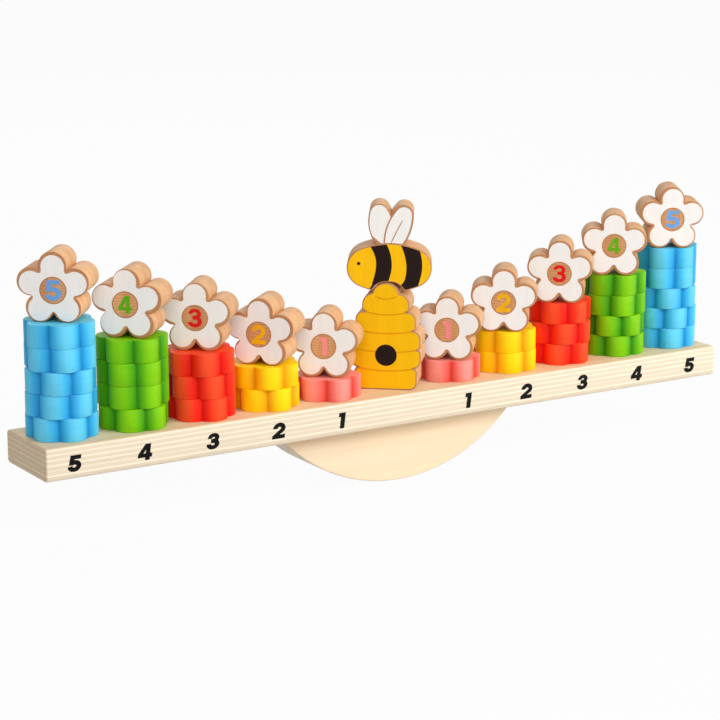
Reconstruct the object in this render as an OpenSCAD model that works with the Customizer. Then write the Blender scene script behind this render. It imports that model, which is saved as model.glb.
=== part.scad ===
// Bee balance game: a plywood beam fixed on a half-moon rocker, with towers of flower counters,
// standing number flowers, a beehive and a bee. Millimetres, +Z up. The beam runs along X, its
// numbered front faces -Y, and the origin is where the rocker touches the table.

/* [Beam] */
// Depth of the beam, front to back
beam_depth = 50; // [46:1:80]
// Thickness of the beam
beam_thickness = 18; // [12:0.5:30]
// Rounding of the beam's long edges
beam_edge_radius = 2; // [0.5:0.25:4]
// Bare stretch of the beam past the last tower, at each end
beam_end_margin = 1.5; // [0.5:0.5:30]

/* [Rocker] */
// Radius of the rocker's round rim
rocker_radius = 105; // [80:1:200]
// Height of the rocker under the beam
rocker_height = 35; // [26:1:50]
// Thickness of the rocker, front to back
rocker_thickness = 30; // [18:1:44]

/* [Rocker dowels] */
// Diameter of a dowel
dowel_diameter = 8; // [5:0.5:12]
// Distance between the two dowels
dowel_spacing = 80; // [40:1:110]
// Wood left over each dowel hole, in the beam and in the rocker
dowel_cover = 6; // [3:0.5:8]
// Glue gap around a dowel and at its ends
glue_gap = 0.1; // [0.05:0.05:0.3]

/* [Counters] */
// Radius of a counter over its lobes
counter_radius = 19.4; // [16:0.1:28]
// Radius of one lobe of a counter
counter_lobe_radius = 9.2; // [6:0.1:12]
// Number of lobes around a counter
counter_lobes = 6; // [5:1:8]
// Thickness of a counter
counter_thickness = 12.5; // [8:0.25:20]
// Least gap between the counters of neighbouring towers
tower_gap = 1.7; // [1:0.1:10]

/* [Number flowers] */
// Radius of one petal
petal_radius = 7.6; // [6.5:0.1:11]
// Distance from the middle of a flower to the middle of a petal
petal_distance = 12.4; // [9:0.1:16]
// Thickness of a number flower
flower_thickness = 22; // [10:0.5:26]
// Gap under a flower's round feet
flower_seat_gap = 0.1; // [0.05:0.05:0.5]

/* [Hive] */
// Height of the lowest band of the hive
hive_foot_height = 12.7; // [8:0.1:14]
// Height of each other band
hive_band_height = 10.9; // [8:0.1:14]
// Width of the lowest band
hive_band_1_width = 36; // [26:0.2:46]
// Width of the second band
hive_band_2_width = 40.4; // [26:0.2:46]
// Width of the third band
hive_band_3_width = 40; // [26:0.2:46]
// Width of the fourth band
hive_band_4_width = 34.8; // [24:0.2:46]
// Width of the fifth band
hive_band_5_width = 27.2; // [20:0.2:40]
// Radius of the bands' corners on the side away from the widest band
hive_outer_corner = 4.6; // [2:0.1:5]
// Radius of the bands' corners on the side of the widest band
hive_inner_corner = 2.2; // [1:0.1:4]
// Radius of the hive's shoulders, the upper corners of the highest band
hive_shoulder = 7; // [3:0.1:7]
// Radius of the round cap on top
hive_cap_radius = 8; // [6:0.1:10]
// Depth of the cap's middle under the top of the highest band
hive_cap_sink = 2.1; // [0:0.1:4]
// Thickness of the hive
hive_thickness = 21; // [10:0.5:26]
// Least gap between the hive and the towers beside it
hive_gap = 0.8; // [0.5:0.1:10]

/* [Bee] */
// Length of the bee's body
bee_length = 48.2; // [36:0.2:60]
// Height of the bee's body
bee_height = 28.2; // [22:0.2:36]
// Radius of the bee's head and tail
bee_end_radius = 11.5; // [8:0.5:13]
// Thickness of the bee
bee_thickness = 21; // [10:0.5:26]
// Place of the notch in the belly, from the bee's middle
bee_notch_place = -0.7; // [-4:0.1:4]
// Depth to which the belly hangs past the top of the hive's cap
bee_notch_depth = 5.5; // [2:0.1:5.8]
// Gap between the notch and the cap
bee_seat_gap = 0.35; // [0.2:0.05:1]

/* [Bee wings] */
// Length of the left wing
left_wing_length = 24.6; // [18:0.2:30]
// Width of the left wing
left_wing_width = 14; // [10:0.2:18]
// Lean of the left wing to the left
left_wing_lean = 8; // [0:1:30]
// Place of the left wing's middle from the bee's middle
left_wing_place = -4.8; // [-10:0.1:0]
// Height of the left wing's middle over the bee's back
left_wing_rise = 10.4; // [8:0.1:12]
// Length of the right wing
right_wing_length = 28.6; // [22:0.2:34]
// Width of the right wing
right_wing_width = 14.4; // [10:0.2:18]
// Lean of the right wing to the right
right_wing_lean = 21; // [0:1:30]
// Place of the right wing's middle from the bee's middle
right_wing_place = 5.1; // [0:0.1:10]
// Height of the right wing's middle over the bee's back
right_wing_rise = 8.2; // [6:0.1:12]
// Radius of the wings' ends
wing_end_radius = 5.6; // [4:0.1:6]

/* [Arrangement] */
// Turn of the hive from the beam's front towards its left end
hive_turn = 41; // [34:1:44]
// Turn of the bee from the beam's front towards its left end
bee_turn = 34; // [32:1:44]
// Least gap between neighbouring standing pieces
standing_gap = 1; // [0.8:0.1:6]

/* [Hidden] */
$fn = 96;
PETALS = 5;
TOWERS = 5;
SIDES = ["left", "right"];
TOWER_NAMES = ["pink", "yellow", "red", "green", "blue"];
TOWER_COLORS = ["lightcoral", "gold", "orangered", "yellowgreen", "deepskyblue"];
PLY_COLOR = "wheat";
WOOD_COLOR = "burlywood";
HIVE_COLOR = "orange";
// How each counter happens to be turned in degrees, by tower from the middle out, bottom counter first
LEFT_TURNS = [[28], [35, 10], [35, 27, 15], [55, 40, 40, 35], [30, 50, 55, 17, 15]];
RIGHT_TURNS = [[33], [10, 5], [50, 5, 40], [5, 40, 15, 20], [10, 20, 0, 40, 40]];
// How each tower's counters happen to stand off its place, from the middle out: their shift to the right
// and to the back
LEFT_SHIFTS = [[1.5, -2], [1.4, -2.4], [1.4, -2.2], [1.2, -1.8], [0.2, 0]];
RIGHT_SHIFTS = [[0, 0], [0, 0], [0, 0], [0.8, 0], [0.4, 0]];
// How each flower happens to stand off its tower's place: its shift to the right and to the back, and
// its turn in degrees from the beam's front towards its left end
LEFT_PLACES = [[1.9, -2.2, 41], [2.2, -3.2, 48], [3, -0.3, 41], [1.6, -3, 44], [1.3, 2, 40]];
RIGHT_PLACES = [[-1.2, -3.6, 40], [-3.3, -4.5, 37], [-2.6, -4.2, 39], [-3.6, -4.6, 36], [-1.6, -4.5, 31]];
// How the hive happens to stand off the beam's middle: its shift to the right and to the back
HIVE_PLACE = [0.4, -1.8];
// A cut starts this far outside the face that it opens
CUT = 1;
// Outlines that would only touch each other lap by this much
LAP = 0.02;
// An oval's ends are rounded by at most this share of its half height
OVAL_END_SHARE = 0.85;
// A hive band's upper and lower corners are rounded by at most this share of its height
BAND_CORNER_SHARE = 0.65;
// Its upper and its lower part lap by this share of its height
BAND_LAP_SHARE = 0.1;
// The beam's edges are rounded by at most this share of its thickness
BEAM_EDGE_SHARE = 0.25;
// Direction of a flower's first petal: straight up
PETAL_UP = 90;

// Heights of the beam
beam_z = rocker_height;
beam_top = beam_z + beam_thickness;

// The hive's widths from the bottom band up, the foot of each band and the height of its cap's middle
hive_widths = [
    hive_band_1_width, hive_band_2_width, hive_band_3_width, hive_band_4_width, hive_band_5_width
];
hive_bands = len(hive_widths);
function hive_band_z(band) = band == 0 ? 0 : hive_foot_height + (band - 1) * hive_band_height;
hive_cap_z = hive_band_z(hive_bands) - hive_cap_sink;
hive_half = max(hive_widths) / 2;
// The lower two bands swell upwards and the others downwards, to the widest one
HIVE_LOWER_BANDS = 2;
function hive_lower_corner(band) = band < HIVE_LOWER_BANDS ? hive_outer_corner : hive_inner_corner;
function hive_upper_corner(band) =
    band == hive_bands - 1 ? hive_shoulder : band < HIVE_LOWER_BANDS ? hive_inner_corner : hive_outer_corner;

// A standing flower: half its width, and the height of its middle over its feet
petal_angles = [for (i = [0 : PETALS - 1]) PETAL_UP + i * 360 / PETALS];
flower_half = petal_radius + petal_distance * max([for (a = petal_angles) cos(a)]);
flower_foot = petal_radius - petal_distance * min([for (a = petal_angles) sin(a)]);

// Least distance along the beam at which a standing piece passes the next one on its right, behind
// it or beside it. A piece is its shift right, shift back, turn, half width and thickness.
function passing(left, right) =
    let (
        turn = (left[2] + right[2]) / 2,
        back = right[1] - left[1],
        behind = (left[4] + right[4]) / 2 + standing_gap - back * cos(turn),
        beside = left[3] + right[3] + standing_gap + back * sin(turn)
    )
    min(behind / sin(turn), beside / cos(turn)) + left[0] - right[0];
function flower_place(side, tower) = (side == "left" ? LEFT_PLACES : RIGHT_PLACES)[tower - 1];
function flower_piece(side, tower) = concat(flower_place(side, tower), [flower_half, flower_thickness]);
middle_pieces = [
    concat(HIVE_PLACE, [hive_turn, hive_half, hive_thickness]),
    concat(HIVE_PLACE, [bee_turn, bee_length / 2 + abs(bee_notch_place), bee_thickness])
];

// Places of the towers
hive_reach = hive_half * cos(hive_turn) + hive_thickness / 2 * sin(hive_turn);
first_tower = max(concat(
    [abs(HIVE_PLACE[0]) + hive_reach + hive_gap + counter_radius],
    [for (piece = middle_pieces) passing(flower_piece("left", 1), piece)],
    [for (piece = middle_pieces) passing(piece, flower_piece("right", 1))]
));
tower_pitch = max(concat(
    [2 * counter_radius + tower_gap],
    [for (tower = [1 : TOWERS - 1]) passing(flower_piece("left", tower + 1), flower_piece("left", tower))],
    [for (tower = [1 : TOWERS - 1]) passing(flower_piece("right", tower), flower_piece("right", tower + 1))]
));

// The beam ends past the last counters, and under the last flowers too
function flower_reach(turn) = flower_half * cos(turn) + flower_thickness / 2 * sin(turn);
last_left = flower_place("left", TOWERS);
last_right = flower_place("right", TOWERS);
beam_length = 2 * (first_tower + (TOWERS - 1) * tower_pitch + max(
    counter_radius + beam_end_margin,
    flower_reach(last_left[2]) - last_left[0],
    flower_reach(last_right[2]) + last_right[0]
));

// Depths of the dowel holes
function rocker_depth_at(x) = sqrt(rocker_radius ^ 2 - x ^ 2) - rocker_radius + rocker_height;
beam_hole_depth = beam_thickness - dowel_cover;
rocker_hole_depth = rocker_depth_at((dowel_spacing + dowel_diameter) / 2) - dowel_cover;
hole_diameter = dowel_diameter + 2 * glue_gap;

function side_sign(side) = side == "left" ? -1 : 1;
function tower_x(side, tower) = side_sign(side) * (first_tower + (tower - 1) * tower_pitch);
function counter_z(layer) = beam_top + (layer - 1) * counter_thickness;
function counter_turn(side, tower, layer) =
    (side == "left" ? LEFT_TURNS : RIGHT_TURNS)[tower - 1][layer - 1];
function counter_shift(side, tower) = (side == "left" ? LEFT_SHIFTS : RIGHT_SHIFTS)[tower - 1];
function counter_name(side, tower, layer) = str(side, "_", TOWER_NAMES[tower - 1], "_counter_", layer);
function flower_name(side, tower) = str(side, "_number_flower_", tower);
function turned(angle, length) = length * [cos(angle), sin(angle)];

// Flat outline of round petals about a middle, the first one pointing along angle
module blossom(petals, distance, radius, angle) {
    circle(r = distance * cos(180 / petals));
    for (i = [0 : petals - 1])
        translate(turned(angle + i * 360 / petals, distance))
            circle(r = radius);
}

// Flat outline of one hive band, from y = 0 up, with its lower and its upper corners rounded
module hive_band(width, height, lower_corner, upper_corner) {
    lower = min(lower_corner, BAND_CORNER_SHARE * height);
    upper = min(upper_corner, BAND_CORNER_SHARE * height, height - lower);
    half = (0.5 + BAND_LAP_SHARE) * height;
    for (side = [-1, 1]) {
        translate([side * (width / 2 - lower), lower])
            circle(r = lower);
        translate([side * (width / 2 - upper), height - upper])
            circle(r = upper);
    }
    translate([-width / 2, lower])
        square([width, height - lower - upper]);
    translate([lower - width / 2, 0])
        square([width - 2 * lower, half]);
    translate([upper - width / 2, height - half])
        square([width - 2 * upper, half]);
}

// Flat oval of four arcs
module oval(length, height, end_radius) {
    end = min(end_radius, OVAL_END_SHARE * height / 2);
    end_place = length / 2 - end;
    rise = height / 2 - end;
    drop = (end_place ^ 2 - rise ^ 2) / (2 * rise);
    side_radius = height / 2 + drop;
    meet = side_radius * end_place / (side_radius - end);
    for (side = [-1, 1])
        translate([side * end_place, 0])
            circle(r = end);
    intersection() {
        translate([0, -drop])
            circle(r = side_radius - LAP);
        translate([0, drop])
            circle(r = side_radius - LAP);
        square([2 * meet, height], center = true);
    }
}

// Stands a flat outline up, square to Y and centred on it
module standing(thickness) {
    rotate([90, 0, 0])
        linear_extrude(thickness, center = true)
            children();
}

// One dowel hole on each side of the middle
module at_dowels() {
    for (side = [-1, 1])
        translate([side * dowel_spacing / 2, 0, beam_z])
            children();
}

module beam() {
    edge = min(beam_edge_radius, BEAM_EDGE_SHARE * beam_thickness);
    color(PLY_COLOR)
    difference() {
        translate([0, 0, beam_z + beam_thickness / 2])
            rotate([90, 0, 90])
                linear_extrude(beam_length, center = true) {
                    square([beam_depth - 2 * edge, beam_thickness], center = true);
                    square([beam_depth, beam_thickness - 2 * edge], center = true);
                    for (y = [-1, 1], z = [-1, 1])
                        translate([y * (beam_depth / 2 - edge), z * (beam_thickness / 2 - edge)])
                            circle(r = edge);
                }
        at_dowels()
            translate([0, 0, -CUT])
                cylinder(d = hole_diameter, h = CUT + beam_hole_depth);
    }
}

module rocker() {
    color(PLY_COLOR)
    difference() {
        standing(rocker_thickness)
            intersection() {
                translate([0, rocker_radius])
                    circle(r = rocker_radius, $fn = 360);
                translate([-rocker_radius, 0])
                    square([2 * rocker_radius, rocker_height]);
            }
        at_dowels()
            translate([0, 0, -rocker_hole_depth])
                cylinder(d = hole_diameter, h = rocker_hole_depth + CUT);
    }
}

module rocker_dowels() {
    color(WOOD_COLOR)
    at_dowels()
        translate([0, 0, glue_gap - rocker_hole_depth])
            cylinder(d = dowel_diameter, h = rocker_hole_depth + beam_hole_depth - 2 * glue_gap);
}

module hive() {
    color(HIVE_COLOR)
    translate([HIVE_PLACE[0], HIVE_PLACE[1], beam_top])
        rotate([0, 0, -hive_turn])
            standing(hive_thickness) {
                for (band = [0 : hive_bands - 1])
                    translate([0, hive_band_z(band)])
                        hive_band(
                            hive_widths[band], hive_band_z(band + 1) - hive_band_z(band),
                            hive_lower_corner(band), hive_upper_corner(band)
                        );
                translate([0, hive_cap_z])
                    circle(r = hive_cap_radius);
            }
}

module bee() {
    back = bee_height / 2;
    cap_below = hive_cap_radius + bee_height / 2 - bee_notch_depth;
    // The notch clears the cap's whole length, which lies askew in it
    askew = abs(hive_turn - bee_turn);
    notch_radius = hive_cap_radius / cos(askew) + bee_seat_gap;
    notch_shift = max(LAP, bee_thickness / 2 * tan(askew));
    color(HIVE_COLOR)
    translate([HIVE_PLACE[0], HIVE_PLACE[1], beam_top + hive_cap_z])
        rotate([0, 0, -bee_turn])
            standing(bee_thickness)
                difference() {
                    translate([-bee_notch_place, cap_below]) {
                        oval(bee_length, bee_height, bee_end_radius);
                        translate([left_wing_place, back + left_wing_rise])
                            rotate(90 + left_wing_lean)
                                oval(left_wing_length, left_wing_width, wing_end_radius);
                        translate([right_wing_place, back + right_wing_rise])
                            rotate(90 - right_wing_lean)
                                oval(right_wing_length, right_wing_width, wing_end_radius);
                    }
                    for (side = [-1, 1])
                        translate([side * notch_shift, 0])
                            circle(r = notch_radius);
                    square([2 * notch_shift, 2 * notch_radius], center = true);
                }
}

module counter(side, tower, layer) {
    shift = counter_shift(side, tower);
    color(TOWER_COLORS[tower - 1])
    translate([tower_x(side, tower) + shift[0], shift[1], counter_z(layer)])
        linear_extrude(counter_thickness)
            blossom(
                counter_lobes, counter_radius - counter_lobe_radius, counter_lobe_radius,
                counter_turn(side, tower, layer)
            );
}

module number_flower(side, tower) {
    place = flower_place(side, tower);
    color(WOOD_COLOR)
    translate([
        tower_x(side, tower) + place[0], place[1], counter_z(tower + 1) + flower_seat_gap + flower_foot
    ])
        rotate([0, 0, -place[2]])
            standing(flower_thickness)
                blossom(PETALS, petal_distance, petal_radius, PETAL_UP);
}

beam();
rocker();
rocker_dowels();
hive();
bee();
for (side = SIDES, tower = [1 : TOWERS], layer = [1 : tower])
    counter(side, tower, layer);
for (side = SIDES, tower = [1 : TOWERS])
    number_flower(side, tower);
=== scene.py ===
"""Looks of a wooden bee balance game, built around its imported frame.

A plywood beam on a half-moon rocker carries towers of painted flower counters, standing number
flowers, a beehive and a bee. Sizes are in millimetres in the classes and in metres in the meshes.
"""

import logging
import math
from dataclasses import dataclass, field
from enum import Enum
from typing import Callable, Iterable, Optional, Sequence

import bmesh
import bpy
import numpy as np
from mathutils import Matrix, Vector, kdtree
from mathutils.geometry import tessellate_polygon

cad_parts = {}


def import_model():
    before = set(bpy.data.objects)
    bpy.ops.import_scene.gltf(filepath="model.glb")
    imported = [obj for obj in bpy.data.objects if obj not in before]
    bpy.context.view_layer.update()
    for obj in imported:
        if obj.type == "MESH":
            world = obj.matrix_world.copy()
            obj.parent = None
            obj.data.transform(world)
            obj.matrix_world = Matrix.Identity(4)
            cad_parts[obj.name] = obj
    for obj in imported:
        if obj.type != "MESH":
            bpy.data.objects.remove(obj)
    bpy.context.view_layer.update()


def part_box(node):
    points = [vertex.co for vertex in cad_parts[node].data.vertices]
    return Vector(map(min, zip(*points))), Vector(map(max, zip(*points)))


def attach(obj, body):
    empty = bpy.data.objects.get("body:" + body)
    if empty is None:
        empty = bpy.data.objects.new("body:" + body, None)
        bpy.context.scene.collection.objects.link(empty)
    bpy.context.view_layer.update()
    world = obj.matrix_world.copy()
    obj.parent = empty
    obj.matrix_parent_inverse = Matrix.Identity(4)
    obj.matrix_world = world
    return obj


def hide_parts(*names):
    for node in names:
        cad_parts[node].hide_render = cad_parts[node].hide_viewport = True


LOG = logging.getLogger("bee_balance_game")
MM = 0.001
PRINT = 0.04
EDGE = "edge"
GROOVE = "groove"
BLUNTEST_SLANT = 0.6
CREASE = math.radians(38)
Colour = tuple[float, float, float]
Field = Callable[[np.ndarray], float]


class Side(Enum):
    """Side of the beam, seen from its numbered front."""

    LEFT = -1
    RIGHT = 1

    @property
    def word(self) -> str:
        """Word that the names of this side's nodes begin with."""
        return self.name.lower()


class Hue(Enum):
    """Colour of a tower's counters, in order from the middle of the beam out."""

    PINK = (250, 128, 116)
    YELLOW = (255, 206, 0)
    RED = (249, 54, 20)
    GREEN = (108, 190, 2)
    BLUE = (78, 195, 239)

    @property
    def word(self) -> str:
        """Word in the names of this colour's nodes and slots."""
        return self.name.lower()


def linear(colour: Colour) -> tuple[float, float, float, float]:
    """Turns a colour of 0 to 255 into the linear one that shaders take.

    Args:
        colour: Red, green and blue as they look on a screen.

    Returns:
        Linear red, green, blue and a full alpha.
    """
    shares = [c / 255 for c in colour]
    return (*[s / 12.92 if s <= 0.04045 else ((s + 0.055) / 1.055) ** 2.4 for s in shares], 1.0)


class Graph:
    """Material under construction: a shader and the nodes that feed it."""

    def __init__(self, name: str) -> None:
        """Starts an empty material with one principled shader.

        Args:
            name: Name of the material.
        """
        self.material = bpy.data.materials.new(name)
        self.material.use_nodes = True
        self.tree = self.material.node_tree
        self.shader = self.tree.nodes["Principled BSDF"]
        self.place = self.node("ShaderNodeTexCoord").outputs["Object"]

    def node(self, kind: str, **settings: object) -> bpy.types.Node:
        """Adds a node and sets its properties.

        Args:
            kind: Kind of node.
            settings: Values of its properties by name.

        Returns:
            The node.
        """
        made = self.tree.nodes.new(kind)
        for key, value in settings.items():
            setattr(made, key, value)
        return made

    def feed(self, socket: bpy.types.NodeSocket, value: object) -> None:
        """Links a socket to another one, or sets its constant.

        Args:
            socket: The socket that is fed.
            value: A socket that feeds it, or the constant.
        """
        if isinstance(value, bpy.types.NodeSocket):
            self.tree.links.new(value, socket)
        else:
            socket.default_value = value

    def math(self, operation: str, first: object, second: object = 0.0) -> bpy.types.NodeSocket:
        """Combines two numbers.

        Args:
            operation: What is done with them.
            first: First number, or a socket.
            second: Second number, or a socket.

        Returns:
            The result.
        """
        made = self.node("ShaderNodeMath", operation=operation)
        self.feed(made.inputs[0], first)
        self.feed(made.inputs[1], second)
        return made.outputs[0]

    def split(self, vector: bpy.types.NodeSocket) -> bpy.types.NodeOutputs:
        """Splits a place or a direction into its three numbers.

        Args:
            vector: The place or direction.

        Returns:
            Sockets X, Y and Z.
        """
        made = self.node("ShaderNodeSeparateXYZ")
        self.feed(made.inputs[0], vector)
        return made.outputs

    def noise(self, repeats: Sequence[float], detail: float, twist: float = 0.0) -> bpy.types.NodeSocket:
        """Cloudy noise in space, stretched along the axes.

        Args:
            repeats: Clouds for each metre along the three axes.
            detail: Levels of finer clouds in it.
            twist: Distortion.

        Returns:
            The noise, from 0 to 1.
        """
        stretched = self.node("ShaderNodeMapping")
        self.feed(stretched.inputs["Vector"], self.place)
        self.feed(stretched.inputs["Scale"], repeats)
        made = self.node("ShaderNodeTexNoise")
        inputs = {"Vector": stretched.outputs[0], "Scale": 1.0, "Detail": detail, "Distortion": twist}
        for key, value in inputs.items():
            self.feed(made.inputs[key], value)
        return made.outputs["Fac"]

    def ramp(self, factor: object, stops: Sequence[tuple[float, object]]) -> bpy.types.NodeSocket:
        """Maps a number to colours or grey levels.

        Args:
            factor: Number from 0 to 1.
            stops: Places along the ramp, each with a colour of 0 to 255 or a grey level.

        Returns:
            The colour at the number.
        """
        made = self.node("ShaderNodeValToRGB")
        self.feed(made.inputs[0], factor)
        band = made.color_ramp
        while len(band.elements) < len(stops):
            band.elements.new(1.0)
        for element, (at, value) in zip(band.elements, stops):
            element.position = at
            element.color = linear(value) if isinstance(value, tuple) else (value, value, value, 1)
        return made.outputs[0]

    def mix(
        self, factor: object, first: object, second: object, blend: str = "MIX",
    ) -> bpy.types.NodeSocket:
        """Mixes two colours.

        Args:
            factor: Share of the second colour.
            first: Colour of 0 to 255, or a socket.
            second: Colour of 0 to 255, or a socket.
            blend: How the second colour is laid over the first.

        Returns:
            The mixed colour.
        """
        made = self.node("ShaderNodeMix", data_type="RGBA", blend_type=blend)
        self.feed(made.inputs["Factor"], factor)
        for socket, value in ((made.inputs[6], first), (made.inputs[7], second)):
            self.feed(socket, linear(value) if isinstance(value, tuple) else value)
        return made.outputs[2]

    def shade(self, colour: object, level: object) -> bpy.types.NodeSocket:
        """Multiplies a colour by a grey level or a tint."""
        return self.mix(1.0, colour, level, "MULTIPLY")

    def attribute(self, name: str) -> bpy.types.NodeSocket:
        """Number that a piece's points carry."""
        return self.node("ShaderNodeAttribute", attribute_name=name).outputs["Fac"]

    def finish(
        self, colour: object, rough: object, relief: object, depth: float, gloss: float,
    ) -> bpy.types.Material:
        """Joins the results to the shader.

        Args:
            colour: Base colour.
            rough: Roughness.
            relief: Height of the surface relief from 0 to 1.
            depth: Real depth of that relief in millimetres.
            gloss: Strength of the reflection, 0.5 for a common varnish.

        Returns:
            The material.
        """
        self.feed(self.shader.inputs["Base Color"], colour)
        self.feed(self.shader.inputs["Roughness"], rough)
        self.feed(self.shader.inputs["Specular IOR Level"], gloss)
        bump = self.node("ShaderNodeBump")
        for key, value in {"Strength": 1.0, "Distance": depth * MM, "Height": relief}.items():
            self.feed(bump.inputs[key], value)
        self.feed(self.shader.inputs["Normal"], bump.outputs[0])
        return self.material


@dataclass(frozen=True)
class Plywood:
    """Birch plywood: cross-laid plies on its edges, face veneer on its two faces."""

    name: str
    axis: str
    low: float
    high: float
    plies: int
    light: Colour = (246, 233, 210)
    dark: Colour = (235, 217, 189)
    glue: Colour = (216, 195, 160)
    veneer: Colour = (241, 215, 176)
    streak: Colour = (224, 188, 144)
    # Tint of the painted shade on faces turned along the X axis.
    end_tint: Colour = (240, 229, 218)
    wave: float = 0.22
    relief: float = 0.05
    gloss: float = 0.3

    def material(self) -> bpy.types.Material:
        """Builds the plywood, layered along its axis from its low to its high face.

        Returns:
            The material.
        """
        graph = Graph(self.name)
        wobble = graph.noise((14, 14, 14), 2.0)
        raised = graph.math("SUBTRACT", graph.split(graph.place)[self.axis], self.low * MM)
        layer = graph.math("MULTIPLY", raised, self.plies / ((self.high - self.low) * MM))
        sway = graph.math("MULTIPLY", graph.math("SUBTRACT", wobble, 0.5), self.wave)
        layer = graph.math("ADD", layer, sway)
        pair = graph.math("FRACT", graph.math("MULTIPLY", layer, 0.5))
        plies = graph.ramp(pair, [
            (0.0, self.glue), (0.045, self.light), (0.44, self.light), (0.5, self.glue),
            (0.55, self.dark), (0.95, self.dark), (1.0, self.glue),
        ])
        each = graph.node("ShaderNodeTexWhiteNoise", noise_dimensions="1D")
        graph.feed(each.inputs["W"], graph.math("FLOOR", layer))
        plies = graph.shade(plies, graph.ramp(each.outputs["Value"], [(0.0, 0.94), (1.0, 1.02)]))
        fibre = graph.noise((45, 420, 900), 4.0)
        plies = graph.shade(plies, graph.ramp(fibre, [(0.25, 0.93), (0.5, 0.99), (0.75, 1.03)]))
        grain = graph.noise((5, 150, 150), 5.0, 0.6)
        figure = graph.noise((2.2, 22, 22), 2.0, 0.4)
        face = graph.mix(graph.ramp(grain, [(0.38, 0.0), (0.7, 0.75)]), self.veneer, self.streak)
        face = graph.shade(face, graph.ramp(figure, [(0.3, 0.93), (0.7, 1.03)]))
        depth = graph.math("ABSOLUTE", graph.math("SUBTRACT", layer, self.plies / 2))
        mask = graph.ramp(graph.math("SUBTRACT", depth, self.plies / 2 - 1), [(0.55, 0.0), (0.8, 1.0)])
        colour = graph.mix(mask, plies, face)
        # Painted shade: faces turned along the X axis, the beam's ends and the rocker's rim near its tips,
        # are darkened with a tint.
        facing = graph.split(graph.node("ShaderNodeNewGeometry").outputs["Normal"])
        end = graph.ramp(graph.math("ABSOLUTE", facing["X"]), [(0.55, 0.0), (0.85, 1.0)])
        colour = graph.mix(end, colour, graph.shade(colour, self.end_tint))
        rough = graph.ramp(grain, [(0.3, 0.42), (0.7, 0.55)])
        return graph.finish(colour, rough, fibre, self.relief, self.gloss)


@dataclass(frozen=True)
class BlockWood:
    """Oiled hardwood of a cut block, scorched along its cut edges."""

    name: str
    pale: Colour = (236, 188, 140)
    deep: Colour = (222, 168, 120)
    scorch: Colour = (172, 108, 62)
    scorched: float = 0.85
    ring: float = 1.25
    ring_tilt: float = 0.3
    ring_swing: float = 5.0
    ring_depth: float = 0.12
    relief: float = 0.08
    gloss: float = 0.25

    def material(self) -> bpy.types.Material:
        """Builds the wood, with upright fibres, fine pores and nearly level growth rings.

        Returns:
            The material.
        """
        graph = Graph(self.name)
        grain = graph.noise((210, 210, 9), 5.0, 0.5)
        cloud = graph.noise((30, 30, 12), 2.0)
        pores = graph.noise((1500, 1500, 120), 2.0)
        colour = graph.mix(graph.ramp(grain, [(0.34, 0.0), (0.68, 1.0)]), self.pale, self.deep)
        colour = graph.shade(colour, graph.ramp(cloud, [(0.3, 0.9), (0.7, 1.05)]))
        colour = graph.shade(colour, graph.ramp(pores, [(0.3, 0.84), (0.46, 1.0)]))
        place = graph.split(graph.place)
        swing = graph.noise((24, 24, 40), 2.0)
        aside = graph.math("ADD", place["X"], place["Y"])
        rise = graph.math("ADD", place["Z"], graph.math("MULTIPLY", aside, self.ring_tilt))
        rings = graph.math("DIVIDE", rise, self.ring * MM)
        rings = graph.math("ADD", rings, graph.math("MULTIPLY", swing, self.ring_swing))
        wave = graph.math("SINE", graph.math("MULTIPLY", rings, math.tau))
        wave = graph.math("ADD", graph.math("MULTIPLY", wave, 0.5), 0.5)
        tone = graph.ramp(wave, [(0.0, 1.0 - self.ring_depth), (0.45, 0.98), (1.0, 1.03)])
        colour = graph.shade(colour, tone)
        spread = graph.math("MULTIPLY", graph.ramp(cloud, [(0.2, 0.55), (0.7, 1.0)]), self.scorched)
        burn = graph.math("MULTIPLY", graph.attribute(EDGE), spread)
        colour = graph.mix(burn, colour, self.scorch)
        rough = graph.ramp(grain, [(0.3, 0.48), (0.7, 0.62)])
        return graph.finish(colour, rough, graph.mix(0.5, grain, pores), self.relief, self.gloss)


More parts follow.
